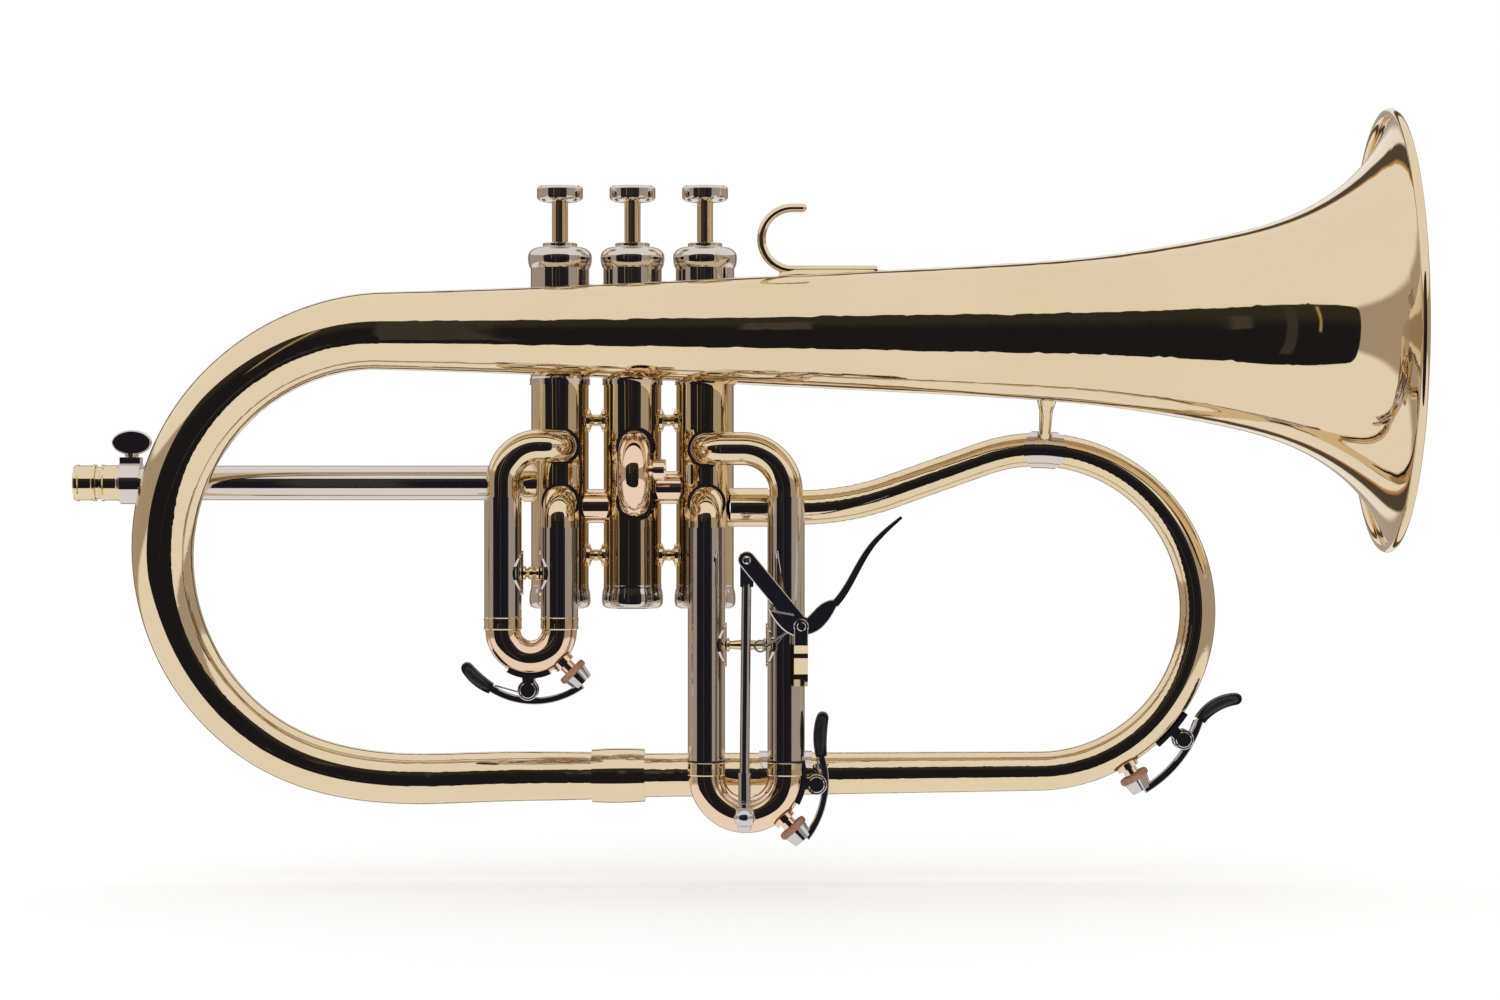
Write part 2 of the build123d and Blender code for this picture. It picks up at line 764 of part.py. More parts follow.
screw_x = 20.0
screw_hole = 1.55
with BuildPart() as clamp_collar:
    with BuildSketch(Plane.YZ.offset(collar_start_x)):
        Circle(7.5)
        with Locations((0, 6.0)):
            Rectangle(6.6, 6.0)
        Circle(mouthpipe_radius + 0.05, mode=Mode.SUBTRACT)
    extrude(amount=collar_end_x - collar_start_x)
    fillet(clamp_collar.edges().filter_by(GeomType.CIRCLE).group_by(Axis.X)[0], radius=0.4)
    add(bar((screw_x, 0, 6.0), (screw_x, 0, 12), screw_hole), mode=Mode.SUBTRACT)
finish(clamp_collar, "clamp_collar")

# ---- thumb screw of the collar: a wing on a short threaded shank ----
wing_z = 14.2
with BuildPart() as wing:
    with BuildSketch(Plane(origin=(screw_x, 0, wing_z), x_dir=(1, 0, 0), z_dir=(0, -1, 0))):
        Ellipse(7.0, 4.4)
    extrude(amount=1.1, both=True)
    fillet(wing.edges().filter_by(GeomType.ELLIPSE), radius=0.7)

with BuildPart() as thumb_screw:
    add(bar((screw_x, 0, 6.1), (screw_x, 0, 9.6), screw_hole - 0.05))
    add(bar((screw_x, 0, 9.15), (screw_x, 0, 10.4), 2.4))
    add(wing.part)
finish(thumb_screw, "thumb_screw")

# ---- first and third valve slides: brass elbows, plated outer tubes, moving crooks ----
elbow_start_y = ring_end_y
elbow_bend = 6.6
upper_leg_z = -5.0
lower_leg_z = -15.5
slides = (
    # leg under the ring, leg beyond the elbow, bend, ring heights, end of outer tubes, name
    (slide_1_right_x, slide_1_left_x, 12.4, slide_heights[0], slide_1_end_z, "slide_1"),
    (slide_3_left_x, slide_3_right_x, 15.0, slide_heights[2], slide_3_end_z, "slide_3"),
)


def outer_tube(x, top_z, bottom_z):
    """A plated outer tube, narrower where it grips the elbow."""
    with BuildPart() as piece:
        add(tube((x, slide_y, bottom_z), (x, slide_y, top_z), slide_outer_radius, slide_bore_radius))
        add(tube((x, slide_y, top_z - 2), (x, slide_y, top_z), slide_outer_radius, inner_tube_bore))
    return piece.part


for ring_x, far_x, bend, heights, end_z, name in slides:
    with BuildPart() as elbows:
        add(
            bent_tube(
                [
                    (ring_x, elbow_start_y, heights[0]), (ring_x, slide_y, heights[0]),
                    (far_x, slide_y, heights[0]), (far_x, slide_y, upper_leg_z),
                ],
                [elbow_bend, bend], elbow_radius, inner_tube_bore,
            )
        )
        add(
            bent_tube(
                [
                    (ring_x, elbow_start_y, heights[1]), (ring_x, slide_y, heights[1]),
                    (ring_x, slide_y, lower_leg_z),
                ],
                [elbow_bend], elbow_radius, inner_tube_bore,
            )
        )
    finish(elbows, name + "_elbows")
    with BuildPart() as outer_tubes:
        add(outer_tube(far_x, upper_leg_z, end_z))
        add(outer_tube(ring_x, lower_leg_z, end_z))
    finish(outer_tubes, name + "_outer_tubes")


def slide_ferrule(x, top_z, bottom_z):
    """The ring on a moving slide that meets the end of the outer tube."""
    middle_z = (top_z + bottom_z) / 2
    return turned(
        [
            (bottom_z, inner_tube_bore), (bottom_z, ferrule_radius - 0.3),
            (bottom_z + 0.4, ferrule_radius), (middle_z, ferrule_radius - 0.15),
            (top_z - 0.4, ferrule_radius), (top_z, ferrule_radius - 0.3), (top_z, inner_tube_bore),
        ],
        along_z(x, slide_y),
    )


def moving_legs(left_x, right_x, tops, rest_z, end_z):
    """The inner tubes of a slide with their ferrules."""
    with BuildPart() as piece:
        for x, top_z in ((left_x, tops[0]), (right_x, tops[1])):
            add(tube((x, slide_y, end_z + 0.5), (x, slide_y, top_z), inner_tube_radius, inner_tube_bore))
            add(slide_ferrule(x, rest_z - 0.05, end_z))
    return piece.part


with BuildPart() as slide_1_inner_tubes:
    add(moving_legs(slide_1_left_x, slide_1_right_x, (-8.0, -18.5), slide_1_end_z, slide_1_ferrule_z))
finish(slide_1_inner_tubes, "slide_1_inner_tubes")

bumper_thickness = 0.5
with BuildPart() as slide_3_inner_tubes:
    add(
        moving_legs(
            slide_3_left_x, slide_3_right_x, (-18.5, -8.0),
            slide_3_end_z - bumper_thickness, slide_3_ferrule_z,
        )
    )
finish(slide_3_inner_tubes, "slide_3_inner_tubes")

with BuildPart() as slide_3_bumpers:
    for x in (slide_3_left_x, slide_3_right_x):
        add(
            tube(
                (x, slide_y, slide_3_end_z - bumper_thickness - 0.05), (x, slide_y, slide_3_end_z - 0.05),
                slide_outer_radius + 0.1, inner_tube_radius,
            )
        )
finish(slide_3_bumpers, "slide_3_bumpers")


def crook(left_x, right_x, top_z, outer, inner):
    """The half-round bow at the end of an upright slide."""
    middle_x = (left_x + right_x) / 2
    drop = (right_x - left_x) / 2
    return u_bend(
        (left_x, slide_y, top_z), (middle_x, slide_y, top_z - drop), (right_x, slide_y, top_z),
        (0, 0, -1), outer, inner,
    )


crook_1_radius = 6.1
crook_3_radius = 6.2
crook_1_outside = crook(slide_1_left_x, slide_1_right_x, slide_1_ferrule_z, crook_1_radius, 0)
crook_3_outside = crook(slide_3_left_x, slide_3_right_x, slide_3_ferrule_z, crook_3_radius, 0)
with BuildPart() as slide_1_bow:
    add(crook_1_outside)
    add(key_nipple(key_1_plane))
    add(
        crook(slide_1_left_x, slide_1_right_x, slide_1_ferrule_z, inner_tube_bore, 0),
        mode=Mode.SUBTRACT,
    )
finish(slide_1_bow, "slide_1_bow")

# The third slide's bow also carries the stud of the trigger's ball joint.
stud_radius = 1.3
joint_ball_radius = 2.3
with BuildPart() as slide_3_bow:
    add(crook_3_outside)
    add(key_nipple(key_3_plane))
    add(bar((ball_x, slide_y - 4.0, ball_z), (ball_x, rod_y, ball_z), stud_radius))
    with Locations((ball_x, rod_y, ball_z)):
        Sphere(joint_ball_radius)
    add(
        crook(slide_3_left_x, slide_3_right_x, slide_3_ferrule_z, inner_tube_bore, 0),
        mode=Mode.SUBTRACT,
    )
finish(slide_3_bow, "slide_3_bow")

side_keys = (
    # name, plane, pivot, bow's ends and top, bow, outline of the strip, outline of the thumb end
    (
        "1", key_1_plane, key_1_pivot,
        (slide_1_left_x, slide_1_right_x, slide_1_ferrule_z), crook_1_radius, crook_1_outside,
        ((1.0, 9.8), (17.2, 1.1), (24.0, -11.8)), ((24.0, -11.8), (25.1, -17.4), (24.9, -22.6)),
    ),
    (
        "3", key_3_plane, key_3_pivot,
        (slide_3_left_x, slide_3_right_x, slide_3_ferrule_z), crook_3_radius, crook_3_outside,
        ((1.0, 9.7), (14.9, 3.9), (24.2, -7.2)), ((24.2, -7.2), (29.0, -12.9), (33.6, -16.6)),
    ),
)
for name, plane, pivot, ends, tube_radius, bow, strip, tip in side_keys:
    left_x, right_x, top_z = ends
    bow_reach = (right_x - left_x) / 2 + tube_radius
    bow_centre = ((left_x + right_x) / 2, slide_y, top_z)
    with BuildPart() as saddle:
        add(key_saddle(bow_centre, tuple(plane.from_local_coords(pivot)), bow_reach, bow))
        add(
            bar((right_x, slide_y, top_z), (right_x, slide_y, top_z + 9), ferrule_radius + 0.1),
            mode=Mode.SUBTRACT,
        )
    finish(saddle, "key_saddle_" + name)
    with BuildPart() as lever:
        add(key_lever(plane, pivot, strip, tip))
    finish(lever, "key_lever_" + name)
    with BuildPart() as pad:
        add(key_pad(plane))
    finish(pad, "key_pad_" + name)

# ---- second valve slide: points at the player's right hand ----
slide_2_outer_radius = 6.2
crook_2_radius = 5.4
crook_2_bore = 4.9
slide_2_heights = (slide_2_upper_z, slide_2_lower_z)
with BuildPart() as slide_2_outer_tubes:
    for z in slide_2_heights:
        add(
            tube(
                (slide_2_x, ring_end_y, z), (slide_2_x, slide_2_end_y, z),
                slide_2_outer_radius, slide_bore_radius,
            )
        )
finish(slide_2_outer_tubes, "slide_2_outer_tubes")

with BuildPart() as slide_2_inner_tubes:
    for z in slide_2_heights:
        add(
            tube(
                (slide_2_x, ring_end_y - 0.3, z), (slide_2_x, slide_2_ferrule_y, z),
                inner_tube_radius, inner_tube_bore,
            )
        )
        add(
            tube(
                (slide_2_x, slide_2_end_y - 0.05, z), (slide_2_x, slide_2_ferrule_y, z),
                slide_2_outer_radius + 0.3, inner_tube_bore,
            )
        )
finish(slide_2_inner_tubes, "slide_2_inner_tubes")

slide_2_middle_z = (slide_2_upper_z + slide_2_lower_z) / 2
slide_2_reach = (slide_2_upper_z - slide_2_lower_z) / 2
slide_2_front_y = slide_2_ferrule_y - slide_2_reach
knob_start_x = slide_2_x + 4.9
with BuildPart() as slide_2_bow:
    add(
        u_bend(
            (slide_2_x, slide_2_ferrule_y, slide_2_upper_z),
            (slide_2_x, slide_2_front_y, slide_2_middle_z),
            (slide_2_x, slide_2_ferrule_y, slide_2_lower_z),
            (0, -1, 0), crook_2_radius, crook_2_bore,
        )
    )
    add(
        turned(
            [
                (0, 0), (0, 2.2), (1.2, 2.2), (1.6, 3.5), (2.2, 3.7), (5.4, 3.7), (6.1, 3.3),
                (6.1, 0),
            ],
            along_x(knob_start_x, slide_2_front_y + 1.0, slide_2_middle_z + 1.3),
        )
    )
finish(slide_2_bow, "slide_2_bow")


# ---- finger hook on top of the bell ----
hook_wire = 1.5
hook_x = 251.9
hook_radius = 10.65
hook_foot_z = 73.05
with BuildPart() as finger_hook:
    with BuildLine() as hook_line:
        Line((281.0, bell_y, hook_foot_z), (hook_x, bell_y, hook_foot_z))
        ThreePointArc(
            (hook_x, bell_y, hook_foot_z),
            (hook_x - hook_radius, bell_y, hook_foot_z + hook_radius),
            (hook_x, bell_y, hook_foot_z + 2 * hook_radius),
        )
        Line(
            (hook_x, bell_y, hook_foot_z + 2 * hook_radius),
            (hook_x + 3.4, bell_y, hook_foot_z + 2 * hook_radius),
        )
    with BuildSketch(Plane(origin=hook_line.line @ 0, z_dir=hook_line.line % 0)):
        Circle(hook_wire)
    sweep()
    with Locations((hook_x + 3.4, bell_y, hook_foot_z + 2 * hook_radius)):
        Sphere(hook_wire)
    with BuildSketch(Plane((266.0, bell_y, hook_foot_z - 1.6))):
        Ellipse(19.0, 3.2)
    extrude(amount=1.6, taper=25)
    add(flare_outside, mode=Mode.SUBTRACT)
finish(finger_hook, "finger_hook")

# ---- turned braces ----
case_brace_heights = (22.0, -25.3)
slide_1_brace_z = -31.3
slide_3_brace_z = -56.2
bell_brace_x = 340.6
bell_axis_here = Vector(bell_brace_x, bell_y, bell_z)
branch_top = Vector(bell_brace_x, 0, loop_z + math.sqrt(loop_radius ** 2 - (bell_brace_x - loop_x) ** 2))
saddle_x = slide_3_right_x
leg_back = Vector(saddle_x, slide_y, -86.0)
branch_line_here = run_point(saddle_x)


def post_plane(start, end):
    """A plane on a line between two points, for turning a post along it."""
    direction = (end - start).normalized()
    return Plane(origin=start, x_dir=direction, z_dir=direction.cross(Vector(1, 0, 0.01)))


def slide_post(left_x, right_x, y, z, thick):
    """A turned post between two legs, thickest at its middle ring."""
    length = right_x - left_x
    half = length / 2
    return turned(
        [
            (0, 0), (0, thick + 0.5), (0.7, thick + 0.5), (1.1, thick * 0.72),
            (half - 0.9, thick), (half - 0.5, thick + 0.35), (half + 0.5, thick + 0.35),
            (half + 0.9, thick), (length - 1.1, thick * 0.72), (length - 0.7, thick + 0.5),
            (length, thick + 0.5), (length, 0),
        ],
        along_x(left_x, y, z),
    )


flange_thickness = 0.6
flange_gap = flange_thickness + fit_gap
with BuildPart() as brace_posts:
    for x in valve_xs[:2]:
        for z in case_brace_heights:
            gap = valve_xs[1] - valve_xs[0]
            add(
                turned(
                    [
                        (8.0, 0), (8.0, 4.2), (10.6, 4.0), (11.1, 2.4), (11.7, 1.8),
                        (12.2, 2.1), (gap - 12.2, 2.1), (gap - 11.7, 1.8), (gap - 11.1, 2.4),
                        (gap - 10.6, 4.0), (gap - 8.0, 4.2), (gap - 8.0, 0),
                    ],
                    along_x(x, 0, z),
                )
            )
    for x in (valve_xs[0], valve_xs[2]):
        add(bar((x, 0, 50.0), (x, bell_y, 50.0), 3.4))
    for solid in casing_solids:
        add(solid, mode=Mode.SUBTRACT)
    for x in (valve_xs[0], valve_xs[2]):
        add(bar((x, 0, casing_top_z), (x, 0, upper_casing_top_z), upper_radius), mode=Mode.SUBTRACT)
    add(
        slide_post(
            slide_1_left_x + slide_outer_radius + flange_gap,
            slide_1_right_x - slide_outer_radius - flange_gap, slide_y, slide_1_brace_z, 2.0,
        )
    )
    add(
        slide_post(
            slide_3_left_x + slide_outer_radius + flange_gap,
            slide_3_right_x - slide_outer_radius - flange_gap, slide_y, slide_3_brace_z, 1.9,
        )
    )
    add(
        turned(
            [(5.0, 0), (5.0, 2.6), (8.0, 2.1), (17.0, 2.4), (20.5, 3.3), (22.5, 3.3), (30, 2.2), (30, 0)],
            post_plane(branch_top, bell_axis_here),
        )
    )
    add(bar(leg_back, branch_line_here, 2.0))
    add(flare_outside, mode=Mode.SUBTRACT)
    add(
        bar((saddle_x, slide_y, upper_leg_z), (saddle_x, slide_y, slide_3_end_z), slide_outer_radius),
        mode=Mode.SUBTRACT,
    )
    add(branch_outside, mode=Mode.SUBTRACT)
finish(brace_posts, "brace_posts")

# ---- plated flanges under the braces ----
flange_half_width = 5.4


def leg_flange(x, side, z, half_height):
    """A lens-shaped flange wrapped on one side of an upright leg."""
    with BuildPart() as piece:
        with BuildSketch(Plane(origin=(x, slide_y, z), x_dir=(0, 1, 0), z_dir=(side, 0, 0))):
            arc_radius = (half_height ** 2 + flange_half_width ** 2) / (2 * flange_half_width)
            with Locations((arc_radius - flange_half_width, 0)):
                Circle(arc_radius)
            with Locations((flange_half_width - arc_radius, 0)):
                Circle(arc_radius, mode=Mode.INTERSECT)
        extrude(amount=10)
        add(
            tube(
                (x, slide_y, z - 10), (x, slide_y, z + 10),
                slide_outer_radius + flange_thickness, slide_outer_radius,
            ),
            mode=Mode.INTERSECT,
        )
    return piece.part


with BuildPart() as branch_saddles:
    with Locations((bell_brace_x, 0, branch_top.Z)):
        Cylinder(7.7, 20, rotation=(90, 0, 0))
    with Locations((saddle_x, 0, branch_line_here.Z + 7.6)):
        Cylinder(9.3, 20, rotation=(90, 0, 0))

with BuildPart() as branch_skin:
    add(tapered(branch_route, branch_ends, -flange_thickness))
    add(branch_outside, mode=Mode.SUBTRACT)
    add(branch_saddles.part, mode=Mode.INTERSECT)
    split(bisect_by=Plane.XY.offset(loop_z), keep=Keep.BOTH)

with BuildPart() as brace_flanges:
    for x, side, z in (
        (slide_1_left_x, 1, slide_1_brace_z), (slide_1_right_x, -1, slide_1_brace_z),
        (slide_3_left_x, 1, slide_3_brace_z), (slide_3_right_x, -1, slide_3_brace_z),
    ):
        add(leg_flange(x, side, z, 7.75))
    add(branch_skin.part)
    add(bar(branch_top, bell_axis_here, 2.6), mode=Mode.SUBTRACT)
    add(bar(leg_back, branch_line_here, 2.0), mode=Mode.SUBTRACT)
finish(brace_flanges, "brace_flanges")

# ---- trigger of the third slide: a rocking lever, a link rod and a ball joint ----
cheek_front_y = lever_back_y - lever_thickness - 2.0
cheek_back_y = lever_back_y + 2.0
cheek_gap = 0.3
bracket_left_x = 252.4
bracket_right_x = 257.2
bracket_bottom_z = -55.8
bracket_floor_z = -54.6
bracket_middle_x = (bracket_left_x + bracket_right_x) / 2
trigger_pin_radius = 1.1
with BuildPart() as trigger_bracket:
    with BuildSketch(Plane.XZ.offset(-cheek_back_y)):
        with Locations((bracket_middle_x, bracket_bottom_z)):
            Rectangle(
                bracket_right_x - bracket_left_x, pivot_z - bracket_bottom_z,
                align=(Align.CENTER, Align.MIN),
            )
        with Locations((bracket_middle_x, pivot_z)):
            Circle((bracket_right_x - bracket_left_x) / 2 + 0.2)
    extrude(amount=cheek_back_y - cheek_front_y)
    chamfer(trigger_bracket.faces().sort_by(Axis.Y)[0].edges(), length=bevel)
    with BuildSketch(Plane.XZ.offset(-(lever_back_y + cheek_gap))):
        with Locations((pivot_x, bracket_floor_z)):
            Rectangle(20, 24.0, align=(Align.CENTER, Align.MIN))
    extrude(amount=lever_thickness + 2 * cheek_gap, mode=Mode.SUBTRACT)
    add(bar((pivot_x, cheek_front_y, pivot_z), (pivot_x, cheek_back_y, pivot_z), trigger_pin_radius))
    add(screw_head(pivot_x, cheek_front_y, pivot_z, 1.6, -70))
finish(trigger_bracket, "trigger_bracket")

# The foot under the bracket steps back in facets to the slide's leg.
foot_profile = (
    (slide_y, bracket_bottom_z), (cheek_front_y, bracket_bottom_z), (-33.8, -58.6),
    (-33.8, -60.2), (-31.4, -65.8), (-31.2, -67.6), (-26.0, -70.2), (slide_y, -70.2),
)
with BuildPart() as trigger_foot:
    with BuildSketch(Plane.YZ.offset(bracket_left_x)):
        with BuildLine():
            Polyline(*foot_profile, close=True)
        make_face()
    extrude(amount=bracket_right_x - bracket_left_x)
    add(bar((saddle_x, slide_y, -30), (saddle_x, slide_y, -90), slide_outer_radius), mode=Mode.SUBTRACT)
finish(trigger_foot, "trigger_foot")

link_pin_radius = 0.8
link_hole_radius = 1.6
arm_width = 6.0
hub_radius = 3.6
heel_edge = ((243.2, -42.6), (246.6, -48.4), (251.6, -52.3), (pivot_x, pivot_z - hub_radius))
leaf_upper_edge = ((256.8, -46.3), (260.0, -43.1), (262.7, -41.0), (266.0, -40.1))
leaf_lower_edge = ((267.2, -42.4), (264.6, -46.9), (260.9, -50.7), (256.8, -52.3))
spoon_line = (
    (266.2, -41.8), (271.5, -34.3), (275.7, -26.6), (279.6, -20.9), (284.4, -16.0), (289.2, -11.9),
)
spoon_widths = (2.6, 2.3, 2.1, 1.8, 1.4, 0.9)
spoon_width_y = 7.0
with BuildPart() as trigger_lever:
    with BuildSketch(Plane.XZ.offset(-lever_back_y)):
        with BuildLine() as arm_line:
            Line((link_x, link_z), (pivot_x, pivot_z))
        trace(arm_line.line, line_width=arm_width)
        with Locations((link_x, link_z)):
            Circle(arm_width / 2)
        with Locations((pivot_x, pivot_z)):
            Circle(hub_radius)
        with BuildLine():
            heel = Spline(*heel_edge)
            Polyline(heel @ 1, (pivot_x, pivot_z), heel @ 0)
        make_face()
        with BuildLine():
            Spline(*leaf_upper_edge)
            Line(leaf_upper_edge[-1], leaf_lower_edge[0])
            Spline(*leaf_lower_edge)
            Polyline(leaf_lower_edge[-1], (pivot_x, pivot_z), leaf_upper_edge[0])
        make_face()
    extrude(amount=lever_thickness)
    chamfer(trigger_lever.faces().sort_by(Axis.Y)[0].edges(), length=bevel)
    with BuildSketch(Plane.XZ.offset(-lever_back_y)):
        with Locations((pivot_x, pivot_z)):
            Circle(trigger_pin_radius + fit_gap)
    extrude(amount=lever_thickness, mode=Mode.SUBTRACT)
    with BuildSketch(Plane.XZ.offset(-lever_back_y - (spoon_width_y - lever_thickness) / 2)):
        with BuildLine():
            near_side = Spline(*inset(spoon_line, [width / 2 for width in spoon_widths]))
            far_side = Spline(*inset(spoon_line, [-width / 2 for width in spoon_widths]))
            Line(near_side @ 0, far_side @ 0)
            Line(near_side @ 1, far_side @ 1)
        make_face()
    extrude(amount=spoon_width_y)
    add(bar((link_x, lever_back_y + 3.0, link_z), (link_x, lever_back_y, link_z), link_pin_radius))
    add(
        turned(
            [(0, 0), (0, 1.5), (0.25, 1.45), (0.45, 1.25), (0.6, 0.8), (0.65, 0)],
            Plane(
                origin=(link_x, lever_back_y - lever_thickness, link_z), x_dir=(0, -1, 0),
                z_dir=(1, 0, 0),
            ),
        )
    )
finish(trigger_lever, "trigger_lever")

clevis_width = 4.6
clevis_front_y = lever_back_y + 0.4
clevis_back_y = clevis_front_y + 3.0
clevis_bottom_z = -35.9
sleeve_top_z = -99.8
sleeve_bottom_z = -109.2
rod_sleeve_radius = 2.15
socket_radius = 3.7
with BuildPart() as trigger_rod:
    with BuildSketch(Plane.XZ.offset(-clevis_front_y)):
        with Locations((link_x, link_z)):
            Circle(clevis_width / 2)
        with Locations((link_x, clevis_bottom_z)):
            Rectangle(clevis_width, link_z - clevis_bottom_z, align=(Align.CENTER, Align.MIN))
    extrude(amount=-(clevis_back_y - clevis_front_y))
    add(bar((link_x - 0.1, rod_y, clevis_bottom_z + 1), (ball_x, rod_y, sleeve_top_z), rod_radius))
    add(
        turned(
            [
                (sleeve_bottom_z - 6, 0), (sleeve_bottom_z - 6, 1.7), (sleeve_bottom_z - 1.2, 1.7),
                (sleeve_bottom_z - 1.0, 2.3), (sleeve_bottom_z - 0.4, 2.3), (sleeve_bottom_z, 1.9),
                (sleeve_bottom_z, rod_sleeve_radius), (sleeve_top_z, rod_sleeve_radius),
                (sleeve_top_z, 0),
            ],
            along_z(ball_x, rod_y),
        )
    )
    with Locations((ball_x, rod_y, ball_z)):
        Sphere(socket_radius)
    add(
        turned(
            [(-119.9, 0), (-119.9, 1.7), (-119.5, 2.1), (-118.0, 2.5), (ball_z, 2.5), (ball_z, 0)],
            along_z(ball_x, rod_y),
        )
    )
    with Locations((ball_x, rod_y, ball_z)):
        Sphere(joint_ball_radius + fit_gap, mode=Mode.SUBTRACT)
    add(
        bar((ball_x, rod_y, ball_z), (ball_x, rod_y + 6, ball_z), stud_radius + 0.5),
        mode=Mode.SUBTRACT,
    )
    with BuildSketch(Plane.XZ.offset(-clevis_back_y - 0.2)):
        with Locations((link_x, link_z)):
            Circle(link_hole_radius)
    extrude(amount=6, both=True, mode=Mode.SUBTRACT)
finish(trigger_rod, "trigger_rod")
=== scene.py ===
import bpy
import json
import math
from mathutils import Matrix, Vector


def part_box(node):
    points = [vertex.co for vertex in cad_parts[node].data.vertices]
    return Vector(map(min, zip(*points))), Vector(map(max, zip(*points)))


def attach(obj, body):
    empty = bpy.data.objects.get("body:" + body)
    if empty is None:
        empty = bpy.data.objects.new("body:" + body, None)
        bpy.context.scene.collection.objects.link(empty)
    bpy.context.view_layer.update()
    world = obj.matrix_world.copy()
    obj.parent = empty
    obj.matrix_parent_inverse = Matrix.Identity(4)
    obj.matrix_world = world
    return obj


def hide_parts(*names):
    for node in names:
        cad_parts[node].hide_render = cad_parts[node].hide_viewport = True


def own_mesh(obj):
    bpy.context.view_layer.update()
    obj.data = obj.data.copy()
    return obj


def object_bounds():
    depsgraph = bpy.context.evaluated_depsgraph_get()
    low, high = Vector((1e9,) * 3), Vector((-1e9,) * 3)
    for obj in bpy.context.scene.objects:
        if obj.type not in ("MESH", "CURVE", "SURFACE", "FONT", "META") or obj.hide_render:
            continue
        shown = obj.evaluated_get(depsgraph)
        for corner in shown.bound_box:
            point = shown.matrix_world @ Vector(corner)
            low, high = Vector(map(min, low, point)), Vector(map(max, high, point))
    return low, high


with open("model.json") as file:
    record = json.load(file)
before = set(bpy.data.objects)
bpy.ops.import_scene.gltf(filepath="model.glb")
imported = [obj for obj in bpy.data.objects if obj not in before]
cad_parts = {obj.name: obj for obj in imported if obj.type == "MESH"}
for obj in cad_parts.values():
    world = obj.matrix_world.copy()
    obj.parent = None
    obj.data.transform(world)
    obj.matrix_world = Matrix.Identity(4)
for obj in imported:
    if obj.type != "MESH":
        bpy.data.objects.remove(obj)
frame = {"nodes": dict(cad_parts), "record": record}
cad_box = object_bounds()
low, high = cad_box
record = frame["record"]
MM = 0.001


# ---- materials ----
def new_material(name):
    """A node material with its node list, its links and its shader."""
    material = bpy.data.materials.new(name)
    material.use_nodes = True
    nodes = material.node_tree.nodes
    return material, nodes, material.node_tree.links, nodes["Principled BSDF"]


def noise(nodes, links, scale, detail, roughness=0.5, stretch=(1, 1, 1)):
    """A noise texture in the object's own coordinates."""
    place = nodes.new("ShaderNodeTexCoord")
    mapping = nodes.new("ShaderNodeMapping")
    mapping.inputs["Scale"].default_value = stretch
    texture = nodes.new("ShaderNodeTexNoise")
    texture.inputs["Scale"].default_value = scale
    texture.inputs["Detail"].default_value = detail
    texture.inputs["Roughness"].default_value = roughness
    links.new(place.outputs["Object"], mapping.inputs["Vector"])
    links.new(mapping.outputs["Vector"], texture.inputs["Vector"])
    return texture.outputs["Fac"]


def ramp(nodes, links, source, dark, light, start=0.35, end=0.65):
    """A colour that runs between two others with a texture's value."""
    node = nodes.new("ShaderNodeValToRGB")
    node.color_ramp.elements[0].position = start
    node.color_ramp.elements[1].position = end
    node.color_ramp.elements[0].color = (*dark, 1)
    node.color_ramp.elements[1].color = (*light, 1)
    links.new(source, node.inputs["Fac"])
    return node.outputs["Color"]


def spread(nodes, links, source, lowest, highest):
    """A texture's value mapped onto a range."""
    node = nodes.new("ShaderNodeMapRange")
    node.inputs["From Min"].default_value = 0.3
    node.inputs["From Max"].default_value = 0.7
    node.inputs["To Min"].default_value = lowest
    node.inputs["To Max"].default_value = highest
    links.new(source, node.inputs["Value"])
    return node.outputs["Result"]


def bump(nodes, links, shader, source, strength, distance):
    """Relief from a texture's value."""
    node = nodes.new("ShaderNodeBump")
    node.inputs["Strength"].default_value = strength
    node.inputs["Distance"].default_value = distance
    links.new(source, node.inputs["Height"])
    links.new(node.outputs["Normal"], shader.inputs["Normal"])


def polished(name, light, dark, smoothest, roughest, wave=0.002):
    """Polished metal: slight colour drift, buffing haze and the faint waves of worked sheet."""
    material, nodes, links, shader = new_material(name)
    shader.inputs["Metallic"].default_value = 1.0
    tint = ramp(nodes, links, noise(nodes, links, 16, 4), dark, light, 0.3, 0.7)
    links.new(tint, shader.inputs["Base Color"])
    haze = spread(nodes, links, noise(nodes, links, 70, 6, 0.6), smoothest, roughest)
    links.new(haze, shader.inputs["Roughness"])
    bump(nodes, links, shader, noise(nodes, links, 24, 1), wave, 0.002)
    return material


def brushed(name, light, dark, smoothest, roughest, stretch):
    """Drawn or lapped metal with fine lines along one direction."""
    material, nodes, links, shader = new_material(name)
    shader.inputs["Metallic"].default_value = 1.0
    lines = noise(nodes, links, 900, 3, 0.6, stretch)
    links.new(ramp(nodes, links, lines, dark, light), shader.inputs["Base Color"])
    links.new(spread(nodes, links, lines, smoothest, roughest), shader.inputs["Roughness"])
    bump(nodes, links, shader, lines, 0.15, 0.0001)
    return material


def matt(name, light, dark, grain, smoothest, roughest, relief, depth):
    """A dull material: mottled colour, uneven sheen and a fine grain."""
    material, nodes, links, shader = new_material(name)
    links.new(ramp(nodes, links, noise(nodes, links, grain, 6, 0.65), dark, light),
              shader.inputs["Base Color"])
    links.new(spread(nodes, links, noise(nodes, links, grain / 3, 4), smoothest, roughest),
              shader.inputs["Roughness"])
    bump(nodes, links, shader, noise(nodes, links, grain * 2, 5, 0.6), relief, depth)
    return material


